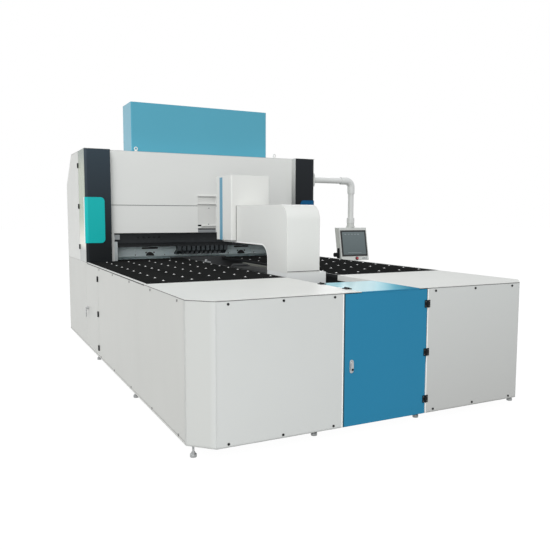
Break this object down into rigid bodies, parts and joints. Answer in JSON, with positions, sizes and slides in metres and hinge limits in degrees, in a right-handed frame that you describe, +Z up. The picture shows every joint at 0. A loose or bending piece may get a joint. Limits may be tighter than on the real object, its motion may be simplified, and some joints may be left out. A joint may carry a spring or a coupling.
{
  "type": "panel bending center",
  "caption": "Sheet-metal panel bender: ball-transfer feed table with a slot-riding clamp arm in front of a bending head with ram, finger tools and blade carrier, and an operator panel.",
  "frame": {"origin": "middle of the base of the whole machine, on the floor", "axes": "+Z up, +Y from the front door towards the bending head, +X to the right as seen from the front"},
  "size_m": [3.5764, 4.4802, 2.652],
  "materials": {
    "white": "light grey powder coat",
    "blue": "mid blue powder coat",
    "sky_blue": "light blue powder coat",
    "black": "black powder coat",
    "table_black": "black satin table plate",
    "strip_grey": "pale grey satin",
    "teal": "teal pane",
    "steel": "machined steel",
    "tool_black": "blackened tool steel",
    "beam_grey": "blue-grey machined casting",
    "frame_grey": "grey primer",
    "carriage_grey": "light grey powder coat",
    "hinge_black": "black die-cast",
    "chrome": "bright plated",
    "panel_grey": "light grey powder coat",
    "screen": "black framed screen",
    "red": "red plastic",
    "motor_black": "black motor case"
  },
  "bodies": {
    "machine": {"levelling_feet": "steel", "table_frame": "frame_grey", "feed_bed": "frame_grey", "guide_rails": "steel", "feed_motor": "motor_black", "table_tops": "table_black", "ball_transfers": "chrome", "table_edge_bars": "steel", "front_covers": "white", "front_panels": "white", "side_panel_left": "white", "rear_side_panel_left": "white", "side_panel_right": "white", "fixed_hinge_leaves": "hinge_black", "side_frames": "frame_grey", "upper_beam": "frame_grey", "ram_drives": "motor_black", "lower_beam": "frame_grey", "lower_tool": "steel", "hood": "white", "hood_band": "white", "centre_panel": "white", "column_trims": "black", "column_strips": "strip_grey", "column_windows": "teal", "right_column_cover": "white", "roof_cover": "white", "rear_panel": "white", "drive_cover": "sky_blue", "panel_bracket": "panel_grey", "panel_screws": "hinge_black"},
    "ball_screw": {"ball_screw": "steel"},
    "manipulator": {"carriage": "carriage_grey", "manipulator_arm": "white", "clamp_head": "white", "head_stripes": "blue", "lower_arm": "steel"},
    "press": {"press_rod": "steel"},
    "upper_disc": {"upper_disc": "tool_black"},
    "lower_disc": {"lower_disc": "tool_black"},
    "ram": {"ram": "frame_grey", "tool_bar": "tool_black", "finger_tools": "tool_black"},
    "blade_slide": {"blade_slide": "beam_grey"},
    "blade_carrier": {"blade_carrier": "beam_grey"},
    "front_door": {"front_door": "blue", "door_hinge_leaves": "hinge_black", "lock_plate": "chrome"},
    "lock": {"lock_lever": "chrome"},
    "slot_lid": {"slot_lid": "blue", "lid_hinge_leaves": "hinge_black"},
    "side_door": {"side_door": "white", "side_hinge_leaves": "hinge_black"},
    "side_handle": {"side_door_handle": "hinge_black"},
    "column_door": {"column_door": "white", "column_hinge_leaves": "hinge_black"},
    "panel_arm": {"panel_arm": "panel_grey"},
    "panel": {"panel_case": "panel_grey", "panel_screen": "screen"},
    "emergency_stop": {"emergency_stop": "red"}
  },
  "joints": [
    {"name": "manipulator_travel", "type": "slide", "parent": "machine", "child": "manipulator", "axis": [0, 1, 0], "range_m": [-0.45, 0.75]},
    {"name": "ball_screw_spin", "type": "hinge", "parent": "machine", "child": "ball_screw", "pos_m": [-0.41125, -1.99485, 0.64], "axis": [0, 1, 0], "continuous": true},
    {"name": "press_stroke", "type": "slide", "parent": "manipulator", "child": "press", "axis": [0, 0, 1], "range_m": [-0.199, 0]},
    {"name": "upper_disc_spin", "type": "hinge", "parent": "press", "child": "upper_disc", "pos_m": [-0.41125, 0.1952, 1.18], "axis": [0, 0, 1], "continuous": true},
    {"name": "lower_disc_spin", "type": "hinge", "parent": "manipulator", "child": "lower_disc", "pos_m": [-0.41125, 0.1952, 0.95], "axis": [0, 0, 1], "continuous": true},
    {"name": "ram_stroke", "type": "slide", "parent": "machine", "child": "ram", "axis": [0, 0, 1], "range_m": [-0.037, 0]},
    {"name": "blade_feed", "type": "slide", "parent": "machine", "child": "blade_slide", "axis": [0, 1, 0], "range_m": [-0.008, 0.02]},
    {"name": "blade_lift", "type": "slide", "parent": "blade_slide", "child": "blade_carrier", "axis": [0, 0, 1], "range_m": [-0.03, 0.03]},
    {"name": "front_door_swing", "type": "hinge", "parent": "machine", "child": "front_door", "pos_m": [-0.07625, -2.23085, 0.075], "axis": [0, 0, 1], "range_deg": [0, 110]},
    {"name": "lock_turn", "type": "hinge", "parent": "front_door", "child": "lock", "pos_m": [-0.68725, -2.22485, 0.451], "axis": [0, 1, 0], "range_deg": [0, 90]},
    {"name": "slot_lid_swing", "type": "hinge", "parent": "machine", "child": "slot_lid", "pos_m": [-0.61625, -2.22185, 0.956], "axis": [0, -1, 0], "range_deg": [0, 100]},
    {"name": "side_door_swing", "type": "hinge", "parent": "machine", "child": "side_door", "pos_m": [-1.76225, 0.49115, 0.075], "axis": [0, 0, 1], "range_deg": [0, 110]},
    {"name": "side_handle_turn", "type": "hinge", "parent": "side_door", "child": "side_handle", "pos_m": [-1.75625, 0.99715, 0.49], "axis": [1, 0, 0], "range_deg": [0, 90]},
    {"name": "column_door_swing", "type": "hinge", "parent": "machine", "child": "column_door", "pos_m": [-1.76225, 1.42215, 0.95], "axis": [0, 0, 1], "range_deg": [0, 110]},
    {"name": "panel_arm_swing", "type": "hinge", "parent": "machine", "child": "panel_arm", "pos_m": [0.99575, 1.22515, 1.877], "axis": [0, 0, 1], "range_deg": [-60, 60]},
    {"name": "panel_swivel", "type": "hinge", "parent": "panel_arm", "child": "panel", "pos_m": [1.58075, 1.22515, 1.345], "axis": [0, 0, 1], "range_deg": [-90, 90]},
    {"name": "emergency_stop_press", "type": "slide", "parent": "panel", "child": "emergency_stop", "axis": [0, 0.9828, -0.1847], "range_m": [0, 0.006], "stiffness_N_per_m": 800}
  ],
  "couplings": [
    {"joint": "ball_screw_spin", "follows": "manipulator_travel", "rad_per_m": 157.08},
    {"joint": "upper_disc_spin", "follows": "lower_disc_spin", "ratio": 1}
  ]
}
